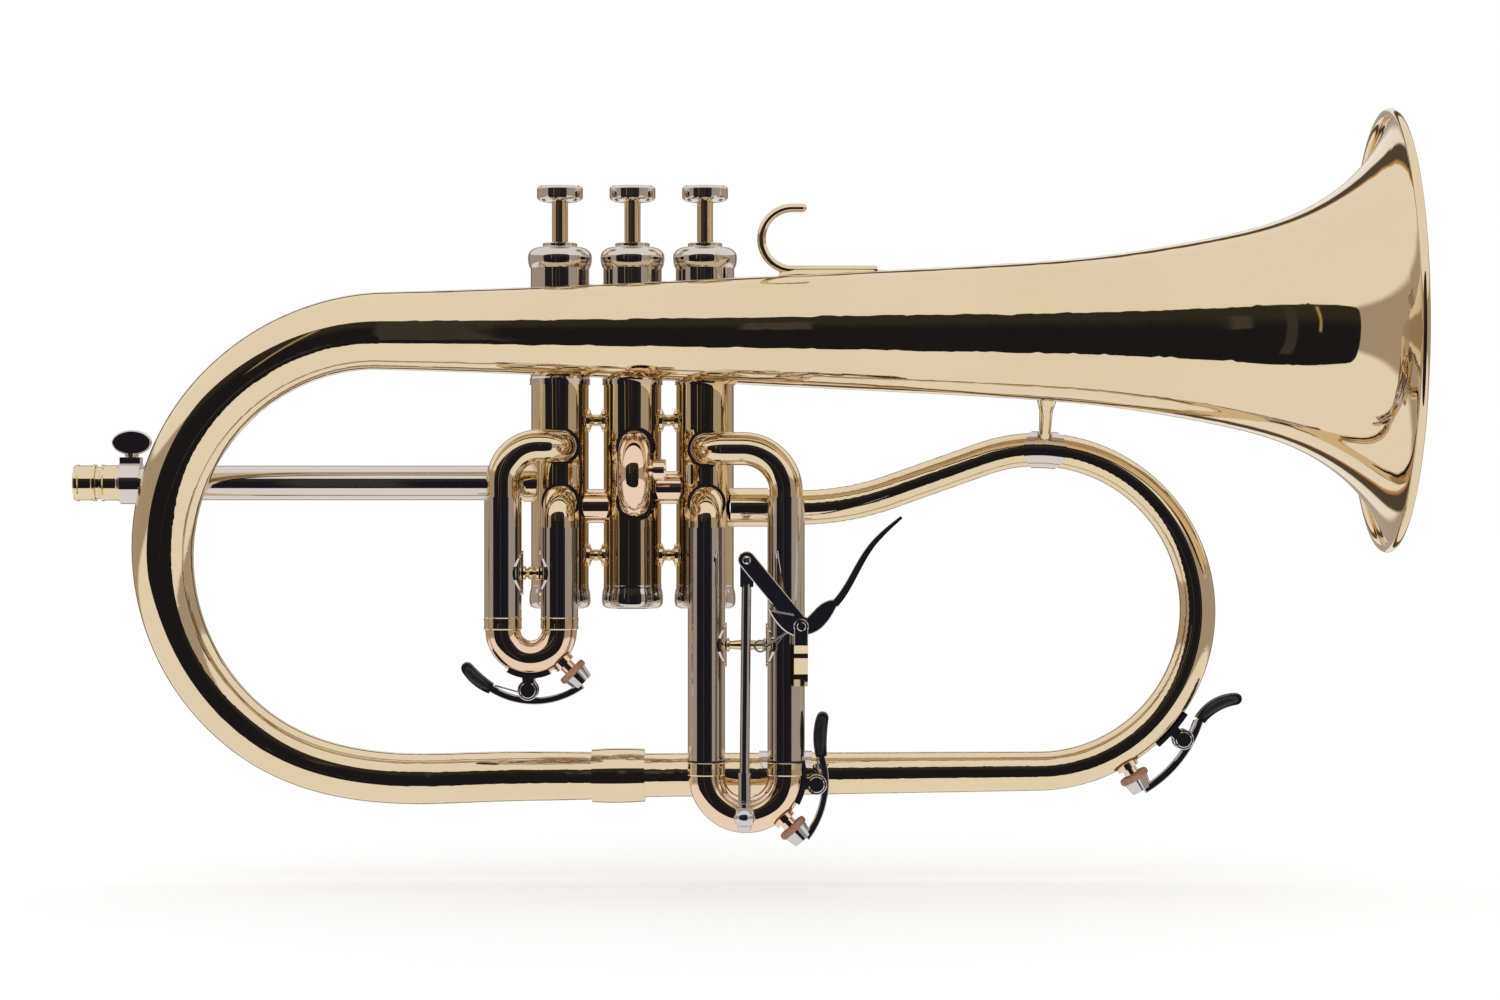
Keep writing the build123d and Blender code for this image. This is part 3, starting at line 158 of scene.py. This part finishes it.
materials = {
    "bell_brass": polished(
        "yellow_brass", (0.785, 0.652, 0.445), (0.755, 0.615, 0.405), 0.02, 0.045),
    "rose_brass": polished(
        "rose_brass", (0.85, 0.645, 0.475), (0.82, 0.61, 0.44), 0.02, 0.045),
    "nickel_silver": polished(
        "nickel_silver", (0.70, 0.64, 0.595), (0.67, 0.605, 0.56), 0.03, 0.06),
    "plated_steel": polished(
        "plated_steel", (0.66, 0.64, 0.64), (0.60, 0.58, 0.58), 0.05, 0.11, wave=0.02),
    "monel": brushed(
        "monel", (0.56, 0.54, 0.51), (0.46, 0.45, 0.43), 0.16, 0.28, (1, 1, 0.05)),
    "spring_steel": brushed(
        "spring_steel", (0.45, 0.45, 0.46), (0.3, 0.3, 0.31), 0.2, 0.34, (1, 1, 1)),
    "cork": matt(
        "cork", (0.40, 0.205, 0.12), (0.27, 0.125, 0.07), 900, 0.55, 0.8, 0.5, 0.0003),
    "felt": matt(
        "felt", (0.05, 0.05, 0.055), (0.02, 0.02, 0.022), 1500, 0.85, 1.0, 0.7, 0.0004),
    "black_rubber": matt(
        "black_rubber", (0.016, 0.016, 0.02), (0.009, 0.009, 0.012), 700, 0.28, 0.42,
        0.12, 0.0001),
    "guide_plastic": matt(
        "guide_plastic", (0.82, 0.81, 0.77), (0.76, 0.75, 0.70), 400, 0.35, 0.5,
        0.1, 0.0001),
}
slot_of = {part["node"]: part["material_slot"] for part in record["subparts"]}
for name, node in frame["nodes"].items():
    for index in range(len(node.material_slots)):
        node.material_slots[index].material = materials[slot_of[name]]


# ---- pieces made here ----
def piece(name, points, faces, body, slot, smooth=True):
    """A mesh piece that rides on a body and wears a slot's material."""
    mesh = bpy.data.meshes.new(name)
    mesh.from_pydata([tuple(point) for point in points], [], faces)
    mesh.update()
    for polygon in mesh.polygons:
        polygon.use_smooth = smooth
    mesh.materials.append(materials[slot])
    thing = bpy.data.objects.new(name, mesh)
    bpy.context.scene.collection.objects.link(thing)
    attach(thing, body)
    return thing


def skin(rings):
    """Points and faces of a closed skin over rings of equal count."""
    count = len(rings[0])
    points = [point for ring in rings for point in ring]
    faces = []
    for row in range(len(rings) - 1):
        for step in range(count):
            after = (step + 1) % count
            faces.append((
                row * count + step, row * count + after,
                (row + 1) * count + after, (row + 1) * count + step,
            ))
    faces.append(tuple(reversed(range(count))))
    faces.append(tuple(range((len(rings) - 1) * count, len(rings) * count)))
    return points, faces


def frames_along(route):
    """For each point of a route: the point, its direction and two directions across it."""
    found = []
    across = None
    for index, point in enumerate(route):
        before = route[max(index - 1, 0)]
        after = route[min(index + 1, len(route) - 1)]
        ahead = (after - before).normalized()
        if across is None:
            helper = Vector((0, 1, 0)) if abs(ahead.y) < 0.9 else Vector((1, 0, 0))
            across = ahead.cross(helper).normalized()
        else:
            across = (across - ahead * across.dot(ahead)).normalized()
        found.append((point, ahead, across, ahead.cross(across)))
    return found


def wire(name, route, radius, body, slot, sides=12):
    """A round wire along a route, in metres."""
    rings = []
    for point, ahead, across, third in frames_along(route):
        ring = []
        for step in range(sides):
            turn = 2 * math.pi * step / sides
            ring.append(point + radius * (math.cos(turn) * across + math.sin(turn) * third))
        rings.append(ring)
    return piece(name, *skin(rings), body, slot)


# Water keys, in mm and degrees: name, body, the nipple's place, its outward direction, which way
# the lever runs, the pin, and three points along the thumb end, in the key's own plane.
keys = (
    ("main", "water_key_main", (370.2, 0.0, -99.7), -58.8, 1, (21.4, 1.65),
     ((30.0, -1.0), (38.0, -2.5), (44.6, -0.8))),
    ("1", "water_key_1", (173.0, -19.0, -62.6), -44.8, -1, (15.3, -2.4),
     ((24.0, -11.8), (25.1, -17.4), (24.9, -22.6))),
    ("3", "water_key_3", (249.4, -19.0, -116.6), -46.6, 1, (16.3, -1.4),
     ((24.2, -7.2), (29.0, -12.9), (33.6, -16.6))),
)


def key_point(place, outward, turn, local, y=0.0):
    """A point of a key's own plane, in metres."""
    out = math.radians(outward)
    along = math.radians(outward + 90 * turn)
    return Vector((
        place[0] + local[0] * math.cos(along) + local[1] * math.cos(out),
        place[1] + y,
        place[2] + local[0] * math.sin(along) + local[1] * math.sin(out),
    )) * MM


def arc_points(start, middle, end, count):
    """Points on the arc through three points of a plane."""
    ax, ay = start
    bx, by = middle
    cx, cy = end
    twice = 2 * (ax * (by - cy) + bx * (cy - ay) + cx * (ay - by))
    a_square, b_square, c_square = ax**2 + ay**2, bx**2 + by**2, cx**2 + cy**2
    ux = (a_square * (by - cy) + b_square * (cy - ay) + c_square * (ay - by)) / twice
    uy = (a_square * (cx - bx) + b_square * (ax - cx) + c_square * (bx - ax)) / twice
    radius = math.hypot(ax - ux, ay - uy)
    first = math.atan2(ay - uy, ax - ux)
    last = math.atan2(cy - uy, cx - ux)
    swing = (last - first + math.pi) % (2 * math.pi) - math.pi
    return [
        (ux + radius * math.cos(first + swing * step / count),
         uy + radius * math.sin(first + swing * step / count))
        for step in range(count + 1)
    ]


boot_half_thickness = 2.35
boot_half_width = 3.75
boot_sides = 24
boot_steps = 14                                  # along the lever's metal
boot_overruns = (0.8, 1.5, 2.0, 2.2)             # past the metal's end, in mm
boot_end_sizes = (1.0, 0.95, 0.8, 0.55, 0.3)     # so that the boot's end is round
squareness = 0.75                                # 1 would make the boot's section an ellipse
key_coil_radius = 1.75
key_coil_steps = 48                              # three turns
key_coil_length = 4.0
for name, body, place, outward, turn, pivot, tip in keys:
    line = arc_points(*tip, boot_steps)
    dx = line[-1][0] - line[-2][0]
    dy = line[-1][1] - line[-2][1]
    run = math.hypot(dx, dy)
    line = line + [
        (line[-1][0] + dx / run * step, line[-1][1] + dy / run * step)
        for step in boot_overruns
    ]
    route = [key_point(place, outward, turn, local) for local in line]
    total = len(route) - 1
    rings = []
    for index, (point, ahead, across, third) in enumerate(frames_along(route)):
        share = index / total
        size = 0.86 + 0.16 * math.sin(math.pi * min(share * 1.1, 1.0))
        if index == 0:
            size = 0.80
        size *= boot_end_sizes[max(index - boot_steps, 0)]
        ring = []
        for step in range(boot_sides):
            angle = 2 * math.pi * step / boot_sides
            side = math.copysign(abs(math.cos(angle)) ** squareness, math.cos(angle))
            rise = math.copysign(abs(math.sin(angle)) ** squareness, math.sin(angle))
            ring.append(
                point + across * (side * boot_half_thickness * size * MM)
                + third * (rise * boot_half_width * size * MM)
            )
        rings.append(ring)
    piece("thumb_boot_" + name, *skin(rings), body, "black_rubber")

    # the key's spring: a coil round the pin and a tail under the lever
    coil = []
    for step in range(key_coil_steps + 1):
        angle = 2 * math.pi * step / 16
        local = (pivot[0] + key_coil_radius * math.cos(angle),
                 pivot[1] + key_coil_radius * math.sin(angle))
        beside = key_coil_length * step / key_coil_steps - 2.0
        coil.append(key_point(place, outward, turn, local, beside))
    tail_end = (pivot[0] + (tip[0][0] - pivot[0]) * 0.8,
                pivot[1] + (tip[0][1] - pivot[1]) * 0.8 - 1.7)
    tail = key_point(place, outward, turn, tail_end, -1.0)
    coil.insert(0, tail)
    wire("key_spring_" + name, coil, 0.3 * MM, body, "spring_steel", 8)

# The trigger's spring: a coil round the pivot, a tail hooked at the brace and one under the arm.
pivot_x, pivot_z = 254.9, -49.3
spring_y = -30.0
trigger_coil_radius = 2.6
trigger_coil_steps = 64
steps_per_turn = 20
coil_pitch = 0.9


def twist(start, end, turns, count):
    """A slightly waved run of wire between two points, in metres."""
    span = end - start
    side = span.cross(Vector((0, 1, 0))).normalized()
    points = []
    for step in range(count + 1):
        wave = 0.12 * MM * math.sin(2 * math.pi * turns * step / count)
        points.append(start + span * (step / count) + side * wave)
    return points


coil = []
for step in range(trigger_coil_steps + 1):
    angle = math.radians(200) + 2 * math.pi * step / steps_per_turn
    coil.append(Vector((
        pivot_x + trigger_coil_radius * math.cos(angle),
        spring_y + coil_pitch * step / steps_per_turn - 0.2,
        pivot_z + trigger_coil_radius * math.sin(angle),
    )) * MM)
hook_centre = Vector((240.8, -27.0, -56.3))
hook = [
    (hook_centre + Vector((1.9 * math.cos(a), -0.015 * step, 1.9 * math.sin(a)))) * MM
    for step, a in enumerate(math.radians(10 + 14 * n) for n in range(26))
]
lower_tail = twist(coil[0], hook[0], 14, 60)
whole_spring = list(reversed(hook)) + list(reversed(lower_tail))[1:-1] + coil
wire("trigger_spring", whole_spring, 0.36 * MM, "frame", "spring_steel", 8)
arm_tail = twist(Vector((252.4, -33.35, -45.4)) * MM, Vector((244.2, -33.35, -43.9)) * MM, 9, 40)
wire("trigger_spring_arm", arm_tail, 0.32 * MM, "trigger", "spring_steel", 8)

# The valve springs: each stands on its guide, a wire coil in place of the part's own spring.
valve_xs = (170.5, 196.0, 221.5)
valve_coil_radius = 5.6 * MM
valve_wire_radius = 0.45 * MM
coil_steps = 24
all_steps = 9 * coil_steps
for number, valve_x in enumerate(valve_xs, 1):
    name = "valve_spring_" + str(number)
    spring_low, spring_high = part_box(name)
    height = spring_high[2] - spring_low[2]
    rise = height - 2 * valve_wire_radius
    coil = []
    for step in range(all_steps + 1):
        angle = 2 * math.pi * step / coil_steps
        coil.append(Vector((
            valve_x * MM + valve_coil_radius * math.cos(angle),
            valve_coil_radius * math.sin(angle),
            spring_low[2] + valve_wire_radius + rise * step / all_steps,
        )))
    spring = wire("coil_" + name, coil, valve_wire_radius, "frame", "spring_steel", 10)
    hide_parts(name)
    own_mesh(spring)

# ---- floor: a wide pale disc, lit to the same white as the studio around it ----
floor_material, nodes, links, shader = new_material("floor")
pale = ramp(nodes, links, noise(nodes, links, 3, 3), (0.69, 0.69, 0.695), (0.71, 0.71, 0.715))
links.new(pale, shader.inputs["Base Color"])
shader.inputs["Roughness"].default_value = 0.9
shader.inputs["Specular IOR Level"].default_value = 0.0
shader.inputs["Emission Color"].default_value = (1, 1, 1, 1)
shader.inputs["Emission Strength"].default_value = 0.34
floor_z = low[2] - 0.014        # below the third slide at the end of its throw
floor_radius = 12
floor_centre_x = 0.23
floor_sides = 96
rim = []
for n in range(floor_sides):
    angle = 2 * math.pi * n / floor_sides
    rim.append((floor_radius * math.cos(angle) + floor_centre_x,
                floor_radius * math.sin(angle), floor_z))
floor_mesh = bpy.data.meshes.new("floor")
floor_mesh.from_pydata(rim, [], [tuple(range(floor_sides))])
floor_mesh.materials.append(floor_material)
floor = bpy.data.objects.new("floor", floor_mesh)
bpy.context.scene.collection.objects.link(floor)
floor.visible_glossy = False

# ---- camera ----
camera_data = bpy.data.cameras.new("camera")
camera_data.lens = 89.3
camera_data.sensor_width = 36.0
camera = bpy.data.objects.new("camera", camera_data)
camera.location = (0.2373, -1.308, -0.006)
camera.rotation_euler = (math.radians(90), 0, 0)
bpy.context.scene.collection.objects.link(camera)
bpy.context.scene.camera = camera
bpy.context.scene.view_settings.view_transform = "Standard"

# ---- world: a white studio; a painted reflection of darker sides and a dark ring shows to glossy rays only ----
world = bpy.data.worlds.new("studio")
world.use_nodes = True
bpy.context.scene.world = world
tree = world.node_tree
background = tree.nodes["Background"]
background.inputs["Strength"].default_value = 1.0
where = tree.nodes.new("ShaderNodeTexCoord")
split = tree.nodes.new("ShaderNodeSeparateXYZ")
tree.links.new(where.outputs["Generated"], split.inputs["Vector"])


def sum_of(tree, operation, first, second):
    """One arithmetic node; each side is a socket or a number."""
    node = tree.nodes.new("ShaderNodeMath")
    node.operation = operation
    for index, side in enumerate((first, second)):
        if isinstance(side, (int, float)):
            node.inputs[index].default_value = side
        else:
            tree.links.new(side, node.inputs[index])
    return node.outputs[0]


def step_down(tree, value, start, end):
    """1 below the start and 0 above the end of a soft edge."""
    node = tree.nodes.new("ShaderNodeMapRange")
    node.interpolation_type = "SMOOTHSTEP"
    node.inputs["From Min"].default_value = start
    node.inputs["From Max"].default_value = end
    node.inputs["To Min"].default_value = 1.0
    node.inputs["To Max"].default_value = 0.0
    tree.links.new(value, node.inputs["Value"])
    return node.outputs["Result"]


def size_of(tree, value):
    """A value without its sign."""
    return sum_of(tree, "ABSOLUTE", value, 0.0)


def window(tree, value, lowest, highest, soft):
    """1 where a value lies between two limits."""
    middle = (lowest + highest) / 2
    half = (highest - lowest) / 2
    distance = size_of(tree, sum_of(tree, "SUBTRACT", value, middle))
    return step_down(tree, distance, half - soft, half + soft)


def painted(tree, under, over, cover):
    """A colour laid over another where the cover is 1."""
    node = tree.nodes.new("ShaderNodeMix")
    node.data_type = "RGBA"
    tree.links.new(cover, node.inputs["Factor"])
    for socket, colour in (("A", under), ("B", over)):
        if isinstance(colour, tuple):
            node.inputs[socket].default_value = (*colour, 1)
        else:
            tree.links.new(colour, node.inputs[socket])
    return node.outputs["Result"]


x, y, z = split.outputs["X"], split.outputs["Y"], split.outputs["Z"]

# painted reflection: a band of sides darker and warmer than the white overhead
side_reflection_band = step_down(tree, size_of(tree, z), 0.19, 0.25)
painted_left_reflection = painted(tree, (0.45, 0.39, 0.335), (0.50, 0.44, 0.38), step_down(tree, y, -0.58, -0.48))
side = painted(tree, (0.44, 0.39, 0.34), painted_left_reflection, step_down(tree, x, -0.02, 0.02))
picture = painted(tree, (0.95, 0.95, 0.945), side, side_reflection_band)
# painted reflection: a dark ring with a warm inner line, then the white background behind the
# instrument
picture = painted(tree, picture, (0.60, 0.33, 0.10), window(tree, y, 0.775, 0.80, 0.006))
picture = painted(tree, picture, (0.09, 0.075, 0.06), window(tree, y, 0.795, 0.885, 0.010))
# glossy rays see the painted reflection; camera and diffuse rays see plain white
rays = tree.nodes.new("ShaderNodeLightPath")
picture = painted(tree, (1.0, 1.0, 1.0), picture, rays.outputs["Is Glossy Ray"])
tree.links.new(picture, background.inputs["Color"])

# ---- the dark field in front: a glowing panel seen only in reflections, a painted reflection with painted lighter bars ----
field_material = bpy.data.materials.new("painted_reflection_field")
field_material.use_nodes = True
tree = field_material.node_tree
tree.nodes.remove(tree.nodes["Principled BSDF"])
glow = tree.nodes.new("ShaderNodeEmission")
tree.links.new(glow.outputs["Emission"], tree.nodes["Material Output"].inputs["Surface"])
where = tree.nodes.new("ShaderNodeTexCoord")
split = tree.nodes.new("ShaderNodeSeparateXYZ")
tree.links.new(where.outputs["Object"], split.inputs["Vector"])
across, up = split.outputs["X"], split.outputs["Z"]
# painted reflection: the panel's lower part glows darker than its upper part
darker_low_reflection = step_down(tree, up, 0.05, 0.27)
picture = painted(tree, (0.034, 0.031, 0.025), (0.014, 0.0135, 0.020), darker_low_reflection)
# painted reflection: lighter bars, one warm, that show as light stripes in the reflected dark band
for left, right, bottom, top, colour in (
    (-0.222, -0.192, 0.00, 0.37, (0.42, 0.33, 0.17)),
    (-0.02, 0.045, -0.34, 0.37, (0.048, 0.045, 0.043)),
    (0.165, 0.20, 0.05, 0.24, (0.065, 0.06, 0.055)),
    (0.55, 0.59, -0.20, 0.30, (0.045, 0.042, 0.04)),
):
    wide = window(tree, across, left, right, 0.008)
    tall = window(tree, up, bottom, top, 0.02)
    picture = painted(tree, picture, colour, sum_of(tree, "MULTIPLY", wide, tall))
tree.links.new(picture, glow.inputs["Color"])
field_y, field_left, field_right, field_low, field_high = -0.74, -1.05, 0.72, -0.53, 0.40
corner = 0.16
corner_steps = 10
outline = []
for centre_x, centre_z, start in (
    (field_right - corner, field_high - corner, 0),
    (field_left + corner, field_high - corner, 90),
    (field_left + corner, field_low + corner, 180),
    (field_right - corner, field_low + corner, 270),
):
    for n in range(corner_steps + 1):
        angle = math.radians(start + 90 / corner_steps * n)
        outline.append((centre_x + corner * math.cos(angle), field_y,
                        centre_z + corner * math.sin(angle)))
field_mesh = bpy.data.meshes.new("painted_reflection_field")
field_mesh.from_pydata(outline, [], [tuple(range(len(outline)))])
field_mesh.materials.append(field_material)
field = bpy.data.objects.new("painted_reflection_field", field_mesh)
bpy.context.scene.collection.objects.link(field)
field.visible_camera = False
field.visible_diffuse = False
field.visible_shadow = False
